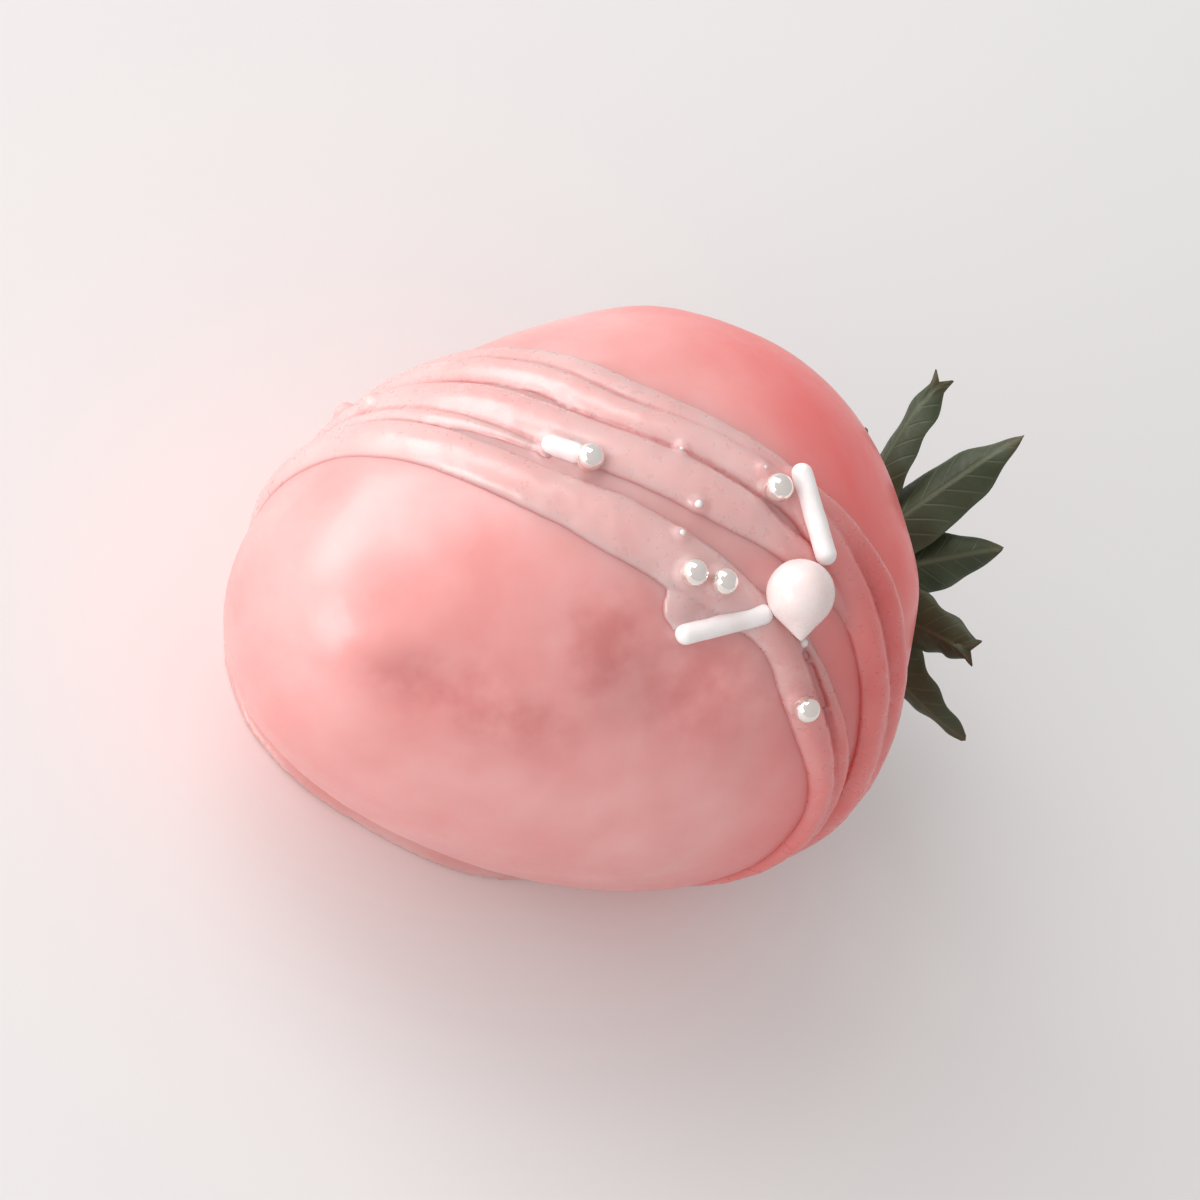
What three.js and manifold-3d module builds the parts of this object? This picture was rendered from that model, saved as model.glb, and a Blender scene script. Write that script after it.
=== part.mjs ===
// Chocolate coated strawberry. The berry lies on its side, as it set on a tray:
// the tip points to -Y, the leaves to +Y, and +Z is up. The origin is in the flat
// face of the chocolate foot that it rests on. Millimetres.

import * as THREE from 'three';
import { mergeVertices } from 'three/addons/utils/BufferGeometryUtils.js';
import Module from 'manifold-3d';

const wasm = await Module();
wasm.setup();

// Coated berry
const HALF_LENGTH = 25.6;
const HALF_WIDTH = 19.4;
const HALF_HEIGHT = 20.8;
const AXIS_HEIGHT = 17.0;
const TIP_RISE = 2.0;
const TAPER = 0.30;
const FULLNESS = 0.74;
const LOWEST_SKIN = 0.6;
const AROUND = 52;
const ALONG = 32;

// Soft swells and hollows in the coat: place along the berry, angle from the top, size, height
const RELIEF = [
  { y: -19, angle: 44, across: 7.0, height: -1.2 },
  { y: -3, angle: 44, across: 7.5, height: -1.1 },
  { y: 22, angle: 24, across: 8.0, height: 1.0 },
  { y: 9, angle: -58, across: 9.0, height: 0.4 },
  { y: -8, angle: -112, across: 8.0, height: -0.7 },
];

// Foot: the chocolate that ran down and set flat on the tray
const FOOT = { x: -3.0, y: 3.2, halfWidth: 16.8, halfLength: 18.9, uneven: 0.03 };
const FOOT_PROFILE = [
  [0, 0], [0.975, 0], [1, 0.35], [0.985, 0.8], [0.93, 1.3], [0.86, 2.3], [0.78, 4.2], [0, 5.5],
];
const FOOT_SIDES = 48;

// Drizzle: chocolate strands that wrap the berry in upright cuts, all turned the same way.
// Each row gives, at an angle round the cut, how far off the middle the strand lies, its
// half width and its height.
const DRIZZLE_TURN = THREE.MathUtils.degToRad(38);
const DRIZZLE_MIDDLE = 2;
const STRANDS = [
  [[-38, -1.4, 0.9, 0.8], [15, -1.7, 1.0, 0.9], [45, -3.15, 1.45, 1.0],
    [64, -3.1, 1.4, 1.0], [80, -4.35, 2.1, 0.95], [100, -5.7, 2.2, 1.0],
    [125, -6.9, 1.85, 1.0], [165, -6.4, 2.05, 1.0], [218, -8.6, 1.5, 0.9]],
  [[45, 2.6, 0.8, 0.4], [58, 2.5, 1.2, 0.7], [74, 1.65, 1.6, 0.9], [94, 0.2, 1.9, 0.95],
    [118, -1.5, 1.9, 0.95], [140, -1.2, 1.9, 0.95], [218, -1.6, 1.6, 0.85]],
  [[-38, 1.5, 1.2, 0.9], [13, 2.1, 1.5, 1.0], [46, 3.5, 1.6, 1.0], [75, 4.7, 1.4, 0.95],
    [93, 3.7, 1.45, 1.0], [115, 1.95, 1.5, 1.0], [135, 2.6, 1.6, 1.0], [218, 2.4, 1.5, 0.95]],
  [[-38, 3.4, 1.1, 0.8], [10, 3.9, 1.3, 0.9], [40, 6.1, 1.3, 0.9], [56, 6.9, 1.2, 0.85],
    [86, 5.4, 1.35, 0.75], [112, 4.2, 1.5, 0.7], [140, 4.9, 1.6, 0.7], [218, 5.2, 1.3, 0.7]],
  [[-38, -1.0, 0.6, 0.6], [26, -0.55, 0.7, 0.75], [47, -1.05, 0.7, 0.7], [66, -1.3, 0.6, 0.5]],
  [[121, -4.0, 1.1, 0.55], [143, -3.7, 1.2, 0.6], [205, -3.3, 1.1, 0.6]],
];
const STRAND_SINK = 0.25;
const STRAND_END = { share: 0.35, growth: 0.016 };
const STRAND_SIDES = 8;
const STRAND_STEP = 6.4;
const SKIN_HALVINGS = 40;

// Toppings, each set by its place along the berry and its angle from the top
const PEARL = { radius: 2.4, tip: 1.4, sides: 14, rings: 8 };
const DRAGEE_RADIUS = 1.0;
const ROD_RADIUS = 0.75;
const TOPPING_SINK = 0.25;
const PEARLS = [{ y: 5.5, angle: 24, turn: -95 }];
const DRAGEES = [
  { y: -6.5, angle: -10.5 }, { y: 5.7, angle: 4.4 }, { y: -2.0, angle: 18.3 }, { y: 0.1, angle: 20.5 },
  { y: 6.8, angle: 45.5 }, { y: 2.0, angle: -122 }, { y: -4.5, angle: -119 },
];
const RODS = [
  { y: 0.4, angle: 29, turn: 6, length: 7.4 }, { y: 8.0, angle: 10, turn: -85, length: 7.4 },
  { y: -7.7, angle: -15.2, turn: -43, length: 3.2 },
];

// Leaf cap: a small disc with a stub of stem and a ring of wavy pointed leaves
const CAP_GAP = 0.4;
const CAP_PROFILE = [
  [0, 0], [3.6, 0], [4.1, 0.5], [3.2, 1.2], [1.7, 1.7], [1.2, 2.6], [1.05, 5.2], [0.7, 5.8], [0, 6.0],
];
const CAP_SIDES = 14;
const LEAF_THICKNESS = 0.5;
const LEAF_ROOT = 2.2;
const LEAF_STEPS = 9;
const LEAF_COLUMNS = 4;
const LEAVES = [
  { turn: -68, length: 12.4, width: 4.8, lift: 5, curl: 2 },
  { turn: -44, length: 15.9, width: 4.6, lift: 18, curl: 20 },
  { turn: -17, length: 16.6, width: 5.4, lift: 30, curl: 16 },
  { turn: 14, length: 12.0, width: 5.0, lift: 40, curl: 20 },
  { turn: 47, length: 12.5, width: 5.0, lift: 16, curl: -10 },
  { turn: 83, length: 13.5, width: 5.2, lift: 10, curl: 26 },
  { turn: 121, length: 12.5, width: 4.8, lift: 14, curl: 8 },
  { turn: 158, length: 11.5, width: 5.2, lift: 24, curl: 20 },
  { turn: 197, length: 11.0, width: 4.6, lift: 18, curl: 24 },
  { turn: 233, length: 13.0, width: 5.2, lift: 12, curl: 10 },
  { turn: 268, length: 13.2, width: 4.8, lift: 26, curl: 24 },
];

const COAT = new THREE.MeshStandardMaterial({ color: 0xeba6a3, roughness: 0.42, metalness: 0 });
const LEAF = new THREE.MeshStandardMaterial({ color: 0x2f3a1c, roughness: 0.6, metalness: 0 });

// The berry's own shape. "station" is 1 at the tip and -1 at the leaf end.
function axisHeight(station) {
  return AXIS_HEIGHT + TIP_RISE * station;
}

function reliefAt(y, angle) {
  let height = 0;
  for (const spot of RELIEF) {
    const round = THREE.MathUtils.degToRad(angle - spot.angle) * HALF_WIDTH;
    const away = Math.hypot(y - spot.y, round) / spot.across;
    height += spot.height * Math.exp(-4 * away * away);
  }
  return height / HALF_WIDTH;
}

function girth(station, angle) {
  const ring = Math.pow(Math.max(1 - station * station, 0), FULLNESS / 2);
  return ring * (1 - TAPER * station + reliefAt(-HALF_LENGTH * station, angle));
}

function skinPoint(y, angle) {
  const station = -y / HALF_LENGTH;
  const size = girth(station, angle);
  const turn = THREE.MathUtils.degToRad(angle);
  const x = HALF_WIDTH * size * Math.sin(turn);
  const z = axisHeight(station) + HALF_HEIGHT * size * Math.cos(turn);
  return new THREE.Vector3(x, y, z);
}

function skinNormal(y, angle) {
  const alongBerry = skinPoint(y + 0.05, angle).sub(skinPoint(y - 0.05, angle));
  const roundBerry = skinPoint(y, angle + 0.2).sub(skinPoint(y, angle - 0.2));
  return alongBerry.cross(roundBerry).normalize().negate();
}

function skinCoordinates(point) {
  const station = THREE.MathUtils.clamp(-point.y / HALF_LENGTH, -0.9999, 0.9999);
  const across = point.x / HALF_WIDTH;
  const up = (point.z - axisHeight(station)) / HALF_HEIGHT;
  const angle = THREE.MathUtils.radToDeg(Math.atan2(across, up));
  return { angle, outside: Math.hypot(across, up) - girth(station, angle) };
}

// Joining: every geometry becomes a closed solid with shared corners
function solidOf(geometry) {
  const bare = geometry.clone();
  bare.deleteAttribute('normal');
  bare.deleteAttribute('uv');
  const merged = mergeVertices(bare, 1e-4);
  const corners = merged.index.array;
  const triangles = [];
  for (let i = 0; i < corners.length; i += 3) {
    const [a, b, c] = corners.slice(i, i + 3);
    if (a !== b && b !== c && c !== a) triangles.push(a, b, c);
  }
  return new wasm.Manifold(new wasm.Mesh({
    numProp: 3,
    vertProperties: Float32Array.from(merged.attributes.position.array),
    triVerts: Uint32Array.from(triangles),
  }));
}

function joined(geometries) {
  let whole = solidOf(geometries[0]);
  for (const geometry of geometries.slice(1)) whole = whole.add(solidOf(geometry));
  const mesh = whole.getMesh();
  const result = new THREE.BufferGeometry();
  result.setAttribute('position', new THREE.BufferAttribute(mesh.vertProperties, mesh.numProp));
  result.setIndex(new THREE.BufferAttribute(mesh.triVerts, 1));
  result.computeVertexNormals();
  return result;
}

function reshaped(geometry, place) {
  const position = geometry.attributes.position;
  const corner = new THREE.Vector3();
  for (let i = 0; i < position.count; i += 1) {
    corner.fromBufferAttribute(position, i);
    const moved = place(corner);
    position.setXYZ(i, moved.x, moved.y, moved.z);
  }
  return geometry;
}

function berryBody() {
  return reshaped(new THREE.SphereGeometry(1, AROUND, ALONG), (corner) => {
    const angle = THREE.MathUtils.radToDeg(Math.atan2(corner.x, corner.z));
    const skin = skinPoint(HALF_LENGTH * corner.y, angle);
    skin.z = Math.max(skin.z, LOWEST_SKIN);
    return skin;
  });
}

function footRipple(turn) {
  return 1 + FOOT.uneven * (Math.sin(3 * turn + 0.6) + 0.5 * Math.sin(5 * turn + 2.1));
}

function foot() {
  const profile = FOOT_PROFILE.map(([reach, height]) => new THREE.Vector2(reach, height));
  return reshaped(new THREE.LatheGeometry(profile, FOOT_SIDES), (corner) => {
    const ripple = footRipple(Math.atan2(corner.x, corner.z));
    const x = FOOT.x + FOOT.halfWidth * ripple * corner.z;
    const y = FOOT.y + FOOT.halfLength * ripple * corner.x;
    return new THREE.Vector3(x, y, corner.y);
  });
}

// Offset, half width and height of a strand at an angle, on a smooth curve through its rows,
// thinner towards its two ends
function slopeAt(rows, index, column) {
  const before = rows[Math.max(index - 1, 0)];
  const after = rows[Math.min(index + 1, rows.length - 1)];
  return (after[column] - before[column]) / (after[0] - before[0]);
}

function strandAt(rows, around) {
  let index = 0;
  while (index < rows.length - 2 && rows[index + 1][0] < around) index += 1;
  const [start, end] = [rows[index], rows[index + 1]];
  const span = end[0] - start[0];
  const share = THREE.MathUtils.clamp((around - start[0]) / span, 0, 1);
  const [offset, fullWidth, fullHeight] = [1, 2, 3].map((column) => {
    const rise = end[column] - start[column];
    const leaving = slopeAt(rows, index, column) * span - rise;
    const arriving = rise - slopeAt(rows, index + 1, column) * span;
    return start[column] + share * rise + share * (1 - share) * ((1 - share) * leaving + share * arriving);
  });
  const fromEnd = Math.min(around - rows[0][0], rows[rows.length - 1][0] - around);
  const thin = Math.min(1, STRAND_END.share + STRAND_END.growth * Math.max(fromEnd, 0));
  return { offset, halfWidth: fullWidth * thin, height: fullHeight * thin };
}

// A strand lies where an upright cut through the berry meets the skin
function cutPoint(offset, around, reach) {
  const along = DRIZZLE_MIDDLE + reach * Math.cos(THREE.MathUtils.degToRad(around));
  const x = along * Math.cos(DRIZZLE_TURN) - offset * Math.sin(DRIZZLE_TURN);
  const y = along * Math.sin(DRIZZLE_TURN) + offset * Math.cos(DRIZZLE_TURN);
  return new THREE.Vector3(x, y, AXIS_HEIGHT + reach * Math.sin(THREE.MathUtils.degToRad(around)));
}

function strandPoint(rows, around) {
  const { offset } = strandAt(rows, around);
  let near = 0;
  let far = 2 * HALF_LENGTH;
  for (let i = 0; i < SKIN_HALVINGS; i += 1) {
    const middle = (near + far) / 2;
    if (skinCoordinates(cutPoint(offset, around, middle)).outside < 0) near = middle;
    else far = middle;
  }
  return cutPoint(offset, around, near);
}

function strandBody(rows) {
  const [first, last] = [rows[0][0], rows[rows.length - 1][0]];
  const steps = Math.round((last - first) / STRAND_STEP);
  return reshaped(new THREE.CylinderGeometry(1, 1, 1, STRAND_SIDES, steps), (corner) => {
    const around = THREE.MathUtils.lerp(first, last, corner.y + 0.5);
    const centre = strandPoint(rows, around);
    const forward = strandPoint(rows, around + 1).sub(strandPoint(rows, around - 1)).normalize();
    const outward = skinNormal(centre.y, skinCoordinates(centre).angle);
    const sideways = new THREE.Vector3().crossVectors(forward, outward).normalize();
    const { halfWidth, height } = strandAt(rows, around);
    centre.addScaledVector(sideways, corner.x * halfWidth);
    centre.addScaledVector(outward, corner.z * (height + STRAND_SINK) - STRAND_SINK);
    centre.z = Math.max(centre.z, LOWEST_SKIN);
    return centre;
  });
}

function drizzleHeight(point) {
  const along = point.x * Math.cos(DRIZZLE_TURN) + point.y * Math.sin(DRIZZLE_TURN);
  const offset = point.y * Math.cos(DRIZZLE_TURN) - point.x * Math.sin(DRIZZLE_TURN);
  const up = THREE.MathUtils.radToDeg(Math.atan2(point.z - AXIS_HEIGHT, along - DRIZZLE_MIDDLE));
  const around = up < -90 ? up + 360 : up;
  const heights = STRANDS.map((rows) => {
    if (around < rows[0][0] || around > rows[rows.length - 1][0]) return 0;
    const strand = strandAt(rows, around);
    const aside = (offset - strand.offset) / strand.halfWidth;
    return strand.height * Math.sqrt(Math.max(1 - aside * aside, 0));
  });
  return Math.max(...heights);
}

function setOnSkin(geometry, radius, spot) {
  const outward = skinNormal(spot.y, spot.angle);
  const centre = skinPoint(spot.y, spot.angle);
  centre.addScaledVector(outward, drizzleHeight(centre) + radius - TOPPING_SINK);
  const stand = new THREE.Quaternion().setFromUnitVectors(new THREE.Vector3(0, 0, 1), outward);
  geometry.rotateZ(THREE.MathUtils.degToRad(spot.turn ?? 0));
  geometry.applyQuaternion(stand);
  return geometry.translate(centre.x, centre.y, centre.z);
}

// A ball whose far end is drawn out into a straight-sided point
function pearl(spot) {
  const touch = Math.PI - Math.acos(1 / PEARL.tip);
  const profile = [];
  for (let step = 0; step <= PEARL.rings; step += 1) {
    const angle = (touch * step) / PEARL.rings;
    profile.push(new THREE.Vector2(PEARL.radius * Math.sin(angle), -PEARL.radius * Math.cos(angle)));
  }
  profile.push(new THREE.Vector2(0, PEARL.radius * PEARL.tip));
  return setOnSkin(new THREE.LatheGeometry(profile, PEARL.sides), PEARL.radius, spot);
}

function dragee(spot) {
  return setOnSkin(new THREE.SphereGeometry(DRAGEE_RADIUS, 8, 5), DRAGEE_RADIUS, spot);
}

function rod(spot) {
  const stick = new THREE.CapsuleGeometry(ROD_RADIUS, spot.length - 2 * ROD_RADIUS, 2, 8);
  return setOnSkin(stick, ROD_RADIUS, spot);
}

function coatedBerry() {
  const strands = STRANDS.map(strandBody);
  const toppings = [...PEARLS.map(pearl), ...DRAGEES.map(dragee), ...RODS.map(rod)];
  return joined([berryBody(), foot(), ...strands, ...toppings]);
}

// A leaf is a grid of corners on each face, split into triangles alike, and a rim
function leafWidth(share) {
  return Math.max(0.07, 1.9 * Math.pow(share + 0.15, 0.45) * Math.pow(1 - share, 0.8));
}

function leafMiddle(leaf, share) {
  const lift = THREE.MathUtils.degToRad(leaf.lift + leaf.curl * share * 0.5);
  const reach = leaf.length * share;
  const turn = THREE.MathUtils.degToRad(leaf.turn);
  const out = LEAF_ROOT + reach * Math.cos(lift);
  return new THREE.Vector3(out * Math.sin(turn), reach * Math.sin(lift), out * Math.cos(turn));
}

function leafCorner(leaf, share, column, face) {
  const middle = leafMiddle(leaf, share);
  const forward = leafMiddle(leaf, share + 0.01).sub(leafMiddle(leaf, share - 0.01)).normalize();
  const turn = THREE.MathUtils.degToRad(leaf.turn);
  const sideways = new THREE.Vector3(Math.cos(turn), 0, -Math.sin(turn));
  const outward = new THREE.Vector3().crossVectors(forward, sideways).normalize();
  const side = (2 * column) / LEAF_COLUMNS - 1;
  const cup = 0.9 * side * side * leafWidth(share);
  const wave = 0.35 * side * Math.sin(9 * share + leaf.turn);
  middle.addScaledVector(sideways, (side * leaf.width * leafWidth(share)) / 2);
  return middle.addScaledVector(outward, 0.9 + cup + wave + face * LEAF_THICKNESS * 0.5);
}

function leafBody(leaf) {
  const row = LEAF_COLUMNS + 1;
  const faceSize = row * (LEAF_STEPS + 1);
  const corners = [];
  const triangles = [];
  for (const face of [1, -1]) {
    for (let step = 0; step <= LEAF_STEPS; step += 1) {
      for (let column = 0; column <= LEAF_COLUMNS; column += 1) {
        const corner = leafCorner(leaf, step / LEAF_STEPS, column, face);
        corners.push(corner.x, corner.y, corner.z);
      }
    }
  }
  const quad = (a, b, c, d) => triangles.push(a, b, c, a, c, d);
  for (let step = 0; step < LEAF_STEPS; step += 1) {
    for (let column = 0; column < LEAF_COLUMNS; column += 1) {
      const a = step * row + column;
      triangles.push(a, a + row + 1, a + 1, a, a + row, a + row + 1);
      const b = a + faceSize;
      triangles.push(b, b + 1, b + row + 1, b, b + row + 1, b + row);
    }
    const left = step * row;
    const right = left + LEAF_COLUMNS;
    quad(left, left + faceSize, left + faceSize + row, left + row);
    quad(right, right + row, right + row + faceSize, right + faceSize);
  }
  for (let column = 0; column < LEAF_COLUMNS; column += 1) {
    const root = column;
    const tip = LEAF_STEPS * row + column;
    quad(root, root + 1, root + 1 + faceSize, root + faceSize);
    quad(tip, tip + faceSize, tip + 1 + faceSize, tip + 1);
  }
  const geometry = new THREE.BufferGeometry();
  geometry.setAttribute('position', new THREE.Float32BufferAttribute(corners, 3));
  geometry.setIndex(triangles);
  return geometry;
}

function leafCap() {
  const profile = CAP_PROFILE.map(([reach, height]) => new THREE.Vector2(reach, height));
  return joined([new THREE.LatheGeometry(profile, CAP_SIDES), ...LEAVES.map(leafBody)]);
}

const strawberry = new THREE.Group();

const coated = new THREE.Mesh(coatedBerry(), COAT);
coated.name = 'coated_berry';
strawberry.add(coated);

const cap = new THREE.Mesh(leafCap(), LEAF);
cap.name = 'leaf_cap';
cap.position.set(0, HALF_LENGTH + CAP_GAP, axisHeight(-1));
strawberry.add(cap);

export default strawberry;
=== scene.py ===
# %% [markdown]
# A strawberry dipped in pink chocolate
#
# The berry was held by its leaves, dipped, laid on its side on a tray, and drizzled and
# sprinkled before the coat had set. This lesson makes its looks around the solid model:
# the coat with its foot and drizzle, the sugar toppings, the leaf cap, and then the studio.

# %% Frame and units
import math

import bmesh
import bpy
import numpy as np
from mathutils import Matrix, Vector, noise
from mathutils.bvhtree import BVHTree


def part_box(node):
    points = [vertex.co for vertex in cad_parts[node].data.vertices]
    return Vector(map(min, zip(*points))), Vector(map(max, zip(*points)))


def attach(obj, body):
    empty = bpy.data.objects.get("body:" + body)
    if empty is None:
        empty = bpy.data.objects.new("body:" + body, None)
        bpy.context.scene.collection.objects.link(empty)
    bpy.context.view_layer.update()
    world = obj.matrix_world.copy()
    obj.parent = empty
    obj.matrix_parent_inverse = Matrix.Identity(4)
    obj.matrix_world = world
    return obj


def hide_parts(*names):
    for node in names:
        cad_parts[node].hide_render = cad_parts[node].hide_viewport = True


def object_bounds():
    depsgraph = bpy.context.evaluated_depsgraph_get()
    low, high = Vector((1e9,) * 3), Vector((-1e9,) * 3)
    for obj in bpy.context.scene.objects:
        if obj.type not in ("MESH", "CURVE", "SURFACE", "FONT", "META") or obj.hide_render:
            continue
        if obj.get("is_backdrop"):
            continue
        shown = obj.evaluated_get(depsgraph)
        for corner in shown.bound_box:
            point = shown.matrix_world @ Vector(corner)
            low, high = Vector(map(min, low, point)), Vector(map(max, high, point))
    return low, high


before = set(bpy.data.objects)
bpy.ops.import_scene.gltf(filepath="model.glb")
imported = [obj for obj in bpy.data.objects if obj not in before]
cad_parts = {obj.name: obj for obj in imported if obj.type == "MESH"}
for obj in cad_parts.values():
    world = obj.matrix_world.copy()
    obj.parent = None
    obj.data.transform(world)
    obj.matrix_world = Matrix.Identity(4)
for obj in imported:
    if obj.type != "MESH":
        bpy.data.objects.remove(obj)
cad_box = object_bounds()
MM = 0.001
berry_low, berry_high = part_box("coated_berry")
HALF_LENGTH = (berry_high.y - berry_low.y) / 2 / MM
LEAF_END = berry_high.y / MM
print("berry half length, mm:", round(HALF_LENGTH, 2))

# %% [markdown]
# The berry's shape
#
# A large strawberry is a blunt cone with full shoulders. One formula gives it: rings that
# swell as a power of the sine along the berry, and grow from the tip to the leaves. Soft
# swells and hollows then take it away from a perfect form. A sculpted mesh could look the
# same, but a formula also tells where the skin is, so the drizzle and the sugar can be set
# on it exactly. All its sizes are in millimetres.

# %% Skin of the berry
HALF_WIDTH = 19.4
HALF_HEIGHT = 20.8
AXIS_HEIGHT = 17.0
TIP_RISE = 2.0
TAPER = 0.30
FULLNESS = 0.74
LOWEST_SKIN = 0.6
RELIEF = [
    dict(y=-19, angle=44, across=7.0, height=-1.2),
    dict(y=-3, angle=44, across=7.5, height=-1.1),
    dict(y=22, angle=24, across=8.0, height=1.0),
    dict(y=9, angle=-58, across=9.0, height=0.4),
    dict(y=-8, angle=-112, across=8.0, height=-0.7),
]


def axis_height(station):
    return AXIS_HEIGHT + TIP_RISE * station


def relief_at(y, angle):
    height = 0
    for spot in RELIEF:
        away = np.hypot(y - spot["y"], np.radians(angle - spot["angle"]) * HALF_WIDTH) / spot["across"]
        height = height + spot["height"] * np.exp(-4 * away * away)
    return height / HALF_WIDTH


def girth(station, angle):
    ring = np.maximum(1 - station * station, 0) ** (FULLNESS / 2)
    return ring * (1 - TAPER * station + relief_at(-HALF_LENGTH * station, angle))


def skin_point(y, angle):
    """Points of the skin, mm: y along the berry, angle in degrees from the top towards +X."""
    station = -y / HALF_LENGTH
    size = girth(station, angle)
    turn = np.radians(angle)
    height = axis_height(station) + HALF_HEIGHT * size * np.cos(turn)
    return np.stack([HALF_WIDTH * size * np.sin(turn), y + 0 * size, height], -1)


def skin_normal(y, angle):
    along = skin_point(y + 0.05, angle) - skin_point(y - 0.05, angle)
    around = skin_point(y, angle + 0.2) - skin_point(y, angle - 0.2)
    normal = np.cross(around, along)
    return normal / np.linalg.norm(normal, axis=-1, keepdims=True)


def skin_angle_and_reach(point):
    """Angle of a point round the berry, and how far outside the skin it is."""
    station = np.clip(-point[..., 1] / HALF_LENGTH, -0.9999, 0.9999)
    across = point[..., 0] / HALF_WIDTH
    up = (point[..., 2] - axis_height(station)) / HALF_HEIGHT
    angle = np.degrees(np.arctan2(across, up))
    return angle, np.hypot(across, up) - girth(station, angle)


top = skin_point(np.array([0.0]), np.array([0.0]))[0]
print("skin at the top of the middle, mm:", top.round(1))

# %% [markdown]
# From numbers to meshes
#
# Rings of points make most of the plain bodies here. Each ring is joined to the next, and
# the ends are closed with a fan, so every body is watertight before anything is fused.

# %% Mesh helpers
def mesh_object(name, corners, faces):
    """A mesh object at the origin from corners in mm."""
    mesh = bpy.data.meshes.new(name)
    mesh.from_pydata((np.asarray(corners) * MM).tolist(), [], faces)
    mesh.validate()
    mesh.shade_smooth()
    piece = bpy.data.objects.new(name, mesh)
    bpy.context.scene.collection.objects.link(piece)
    return piece


def rings_object(name, rings, first=None, last=None):
    """A closed body from rings of equally many points, with an end point before and after them."""
    rings = np.asarray(rings)
    count, around = rings.shape[:2]
    first = rings[0].mean(0) if first is None else first
    last = rings[-1].mean(0) if last is None else last
    corners = np.concatenate([rings.reshape(-1, 3), [first, last]])
    faces = []
    for step in range(count - 1):
        for side in range(around):
            beside = (side + 1) % around
            here, there = step * around, (step + 1) * around
            faces.append((here + side, here + beside, there + beside, there + side))
    for side in range(around):
        beside = (side + 1) % around
        faces.append((beside, side, count * around))
        end = (count - 1) * around
        faces.append((end + side, end + beside, count * around + 1))
    piece = mesh_object(name, corners, faces)
    outward(piece)
    return piece


def outward(piece):
    """Turns the faces of a closed mesh outwards."""
    shape = bmesh.new()
    shape.from_mesh(piece.data)
    bmesh.ops.recalc_face_normals(shape, faces=shape.faces)
    if shape.calc_volume(signed=True) < 0:
        bmesh.ops.reverse_faces(shape, faces=shape.faces)
    shape.to_mesh(piece.data)
    shape.free()


def settle(piece):
    """Applies a piece's modifiers: the evaluated shape becomes its plain mesh."""
    evaluated = piece.evaluated_get(bpy.context.evaluated_depsgraph_get())
    mesh = bpy.data.meshes.new_from_object(evaluated)
    piece.modifiers.clear()
    piece.data = mesh
    return piece


def fused(name, parts):
    """One object that holds the meshes of several, which are then removed."""
    shape = bmesh.new()
    for part in parts:
        shape.from_mesh(part.data)
        bpy.data.objects.remove(part)
    mesh = bpy.data.meshes.new(name)
    shape.to_mesh(mesh)
    shape.free()
    piece = bpy.data.objects.new(name, mesh)
    bpy.context.scene.collection.objects.link(piece)
    return piece


def triangles(piece):
    piece.data.calc_loop_triangles()
    return len(piece.data.loop_triangles)


# %% [markdown]
# Berry and foot
#
# Warm chocolate runs down a dipped berry and sets on the tray as a thin lip, a little wider
# on the side that it ran to. Here the foot is a low flat body turned on its own outline,
# with a ripple, and it overlaps the berry. A later step melts both into one skin.

# %% Body and foot
BODY_AROUND = 256
BODY_ALONG = 180
FOOT = dict(x=-3.0, y=3.2, half_width=16.8, half_length=18.9, uneven=0.03)
FOOT_PROFILE = [
    (0.6, 0), (0.975, 0), (1, 0.35), (0.985, 0.8), (0.93, 1.3), (0.86, 2.3), (0.78, 4.2), (0.3, 5.2),
]
FOOT_AROUND = 160


def berry_body():
    turns = np.linspace(-180, 180, BODY_AROUND, endpoint=False)
    slices = np.linspace(0, math.pi, BODY_ALONG + 2)[1:-1]
    rings = []
    for slice_angle in slices:
        y = -HALF_LENGTH * math.cos(slice_angle)
        ring = skin_point(np.full(BODY_AROUND, y), turns)
        ring[:, 2] = np.maximum(ring[:, 2], LOWEST_SKIN)
        rings.append(ring)
    tip = (0, -HALF_LENGTH, axis_height(1))
    leaf_end = (0, HALF_LENGTH, axis_height(-1))
    return rings_object("berry_body", rings, tip, leaf_end)


def foot_body():
    turns = np.linspace(0, 2 * math.pi, FOOT_AROUND, endpoint=False)
    ripple = 1 + FOOT["uneven"] * (np.sin(3 * turns + 0.6) + 0.5 * np.sin(5 * turns + 2.1))
    rings = []
    for reach, height in FOOT_PROFILE:
        x = FOOT["x"] + FOOT["half_width"] * reach * ripple * np.cos(turns)
        y = FOOT["y"] + FOOT["half_length"] * reach * ripple * np.sin(turns)
        rings.append(np.stack([x, y, np.full(FOOT_AROUND, height)], -1))
    return rings_object("foot_body", rings)


body = berry_body()
foot = foot_body()
print("body and foot triangles:", triangles(body), triangles(foot))

# %% [markdown]
# Geometry Nodes for what follows a path
#
# The strands of drizzle follow paths, and the sprinkles repeat, so small node trees make
# both. A helper builds a tree with named inputs, and another runs it on an object and keeps
# the result as a plain mesh.

# %% Node tree helpers
def new_tree(name, inputs):
    """A geometry node tree with a geometry input and output and these named inputs."""
    tree = bpy.data.node_groups.new(name, "GeometryNodeTree")
    tree.interface.new_socket("Geometry", in_out="INPUT", socket_type="NodeSocketGeometry")
    for label, (kind, value) in inputs.items():
        socket = tree.interface.new_socket(label, in_out="INPUT", socket_type="NodeSocket" + kind)
        if value is not None:
            socket.default_value = value
    tree.interface.new_socket("Geometry", in_out="OUTPUT", socket_type="NodeSocketGeometry")
    return tree, tree.nodes.new("NodeGroupInput"), tree.nodes.new("NodeGroupOutput")


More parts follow.
